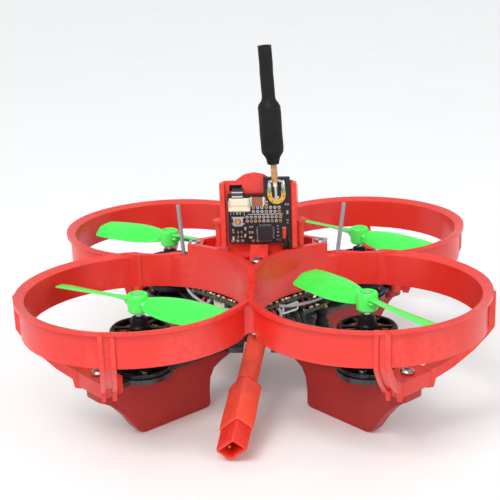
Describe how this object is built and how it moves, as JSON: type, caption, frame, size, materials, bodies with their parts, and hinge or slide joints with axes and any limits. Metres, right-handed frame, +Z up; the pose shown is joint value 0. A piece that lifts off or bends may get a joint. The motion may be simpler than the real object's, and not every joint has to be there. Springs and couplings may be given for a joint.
{
  "type": "palm drone",
  "caption": "Palm-sized ducted quadcopter with spinning two-blade propellers, open motors, leg fins, a camera housing, a whip aerial and a battery lead.",
  "frame": {"origin": "on the floor under the middle of the drone, midway between the four motors", "axes": "+Z up; +Y to the nose, where the camera looks; +X to the right seen from the tail"},
  "size_m": [0.11, 0.11, 0.0886],
  "materials": {
    "red_plastic": "satin moulded nylon",
    "green_plastic": "glossy moulded",
    "black_metal": "black anodised",
    "carbon": "satin woven laminate",
    "copper": "enamelled wire",
    "steel": "bright",
    "circuit_board": "solder mask",
    "black_sleeve": "matt shrink sleeve",
    "coax": "translucent tan",
    "grey_tube": "satin",
    "cream_plastic": "satin",
    "lens_glass": "coated",
    "red_sleeve": "satin silicone"
  },
  "bodies": {
    "airframe": {"aerial_coax": "coax", "aerial_sleeve": "black_sleeve", "battery_lead": "red_sleeve", "camera_body": "black_metal", "camera_connector": "cream_plastic", "camera_housing": "red_plastic", "camera_lens": "lens_glass", "cross_plate": "carbon", "duct_frame": "red_plastic", "flight_controller": "circuit_board", "foot_screw_front_left": "steel", "foot_screw_front_right": "steel", "foot_screw_rear_left": "steel", "foot_screw_rear_right": "steel", "leg_front_left": "red_plastic", "leg_front_right": "red_plastic", "leg_rear_left": "red_plastic", "leg_rear_right": "red_plastic", "lower_spacer_left": "black_metal", "lower_spacer_right": "black_metal", "motor_base_front_left": "black_metal", "motor_base_front_right": "black_metal", "motor_base_rear_left": "black_metal", "motor_base_rear_right": "black_metal", "motor_stator_front_left": "copper", "motor_stator_front_right": "copper", "motor_stator_rear_left": "copper", "motor_stator_rear_right": "copper", "plug_grip": "red_sleeve", "plug_pin_lower": "steel", "plug_pin_upper": "steel", "plug_shell": "red_plastic", "receiver_tube_left": "grey_tube", "receiver_tube_right": "grey_tube", "speed_controller": "circuit_board", "stack_screw_front": "steel", "stack_screw_left": "steel", "stack_screw_rear": "steel", "stack_screw_right": "steel", "tab_screw_front": "steel", "tab_screw_rear": "steel", "upper_spacer_front": "black_metal", "upper_spacer_left": "black_metal", "upper_spacer_rear": "black_metal", "upper_spacer_right": "black_metal", "video_transmitter": "circuit_board"},
    "rotor_rear_left": {"motor_bell_rear_left": "black_metal", "motor_shaft_rear_left": "steel", "propeller_rear_left": "green_plastic"},
    "rotor_rear_right": {"motor_bell_rear_right": "black_metal", "motor_shaft_rear_right": "steel", "propeller_rear_right": "green_plastic"},
    "rotor_front_left": {"motor_bell_front_left": "black_metal", "motor_shaft_front_left": "steel", "propeller_front_left": "green_plastic"},
    "rotor_front_right": {"motor_bell_front_right": "black_metal", "motor_shaft_front_right": "steel", "propeller_front_right": "green_plastic"},
    "boot_button": {"boot_button": "steel"},
    "channel_button": {"channel_button": "steel"}
  },
  "joints": [
    {"name": "spin_rear_left", "type": "hinge", "parent": "airframe", "child": "rotor_rear_left", "pos_m": [-0.02652, -0.02652, 0.0264], "axis": [0, 0, 1], "continuous": true},
    {"name": "spin_rear_right", "type": "hinge", "parent": "airframe", "child": "rotor_rear_right", "pos_m": [0.02652, -0.02652, 0.0264], "axis": [0, 0, 1], "continuous": true},
    {"name": "spin_front_left", "type": "hinge", "parent": "airframe", "child": "rotor_front_left", "pos_m": [-0.02652, 0.02652, 0.0264], "axis": [0, 0, 1], "continuous": true},
    {"name": "spin_front_right", "type": "hinge", "parent": "airframe", "child": "rotor_front_right", "pos_m": [0.02652, 0.02652, 0.0264], "axis": [0, 0, 1], "continuous": true},
    {"name": "press_boot_button", "type": "slide", "parent": "airframe", "child": "boot_button", "axis": [0, 0, -1], "range_m": [0, 0.00025], "stiffness_N_per_m": 300, "springref_m": -0.0004},
    {"name": "press_channel_button", "type": "slide", "parent": "airframe", "child": "channel_button", "axis": [0, 1, 0], "range_m": [0, 0.00025], "stiffness_N_per_m": 300, "springref_m": -0.0004}
  ]
}
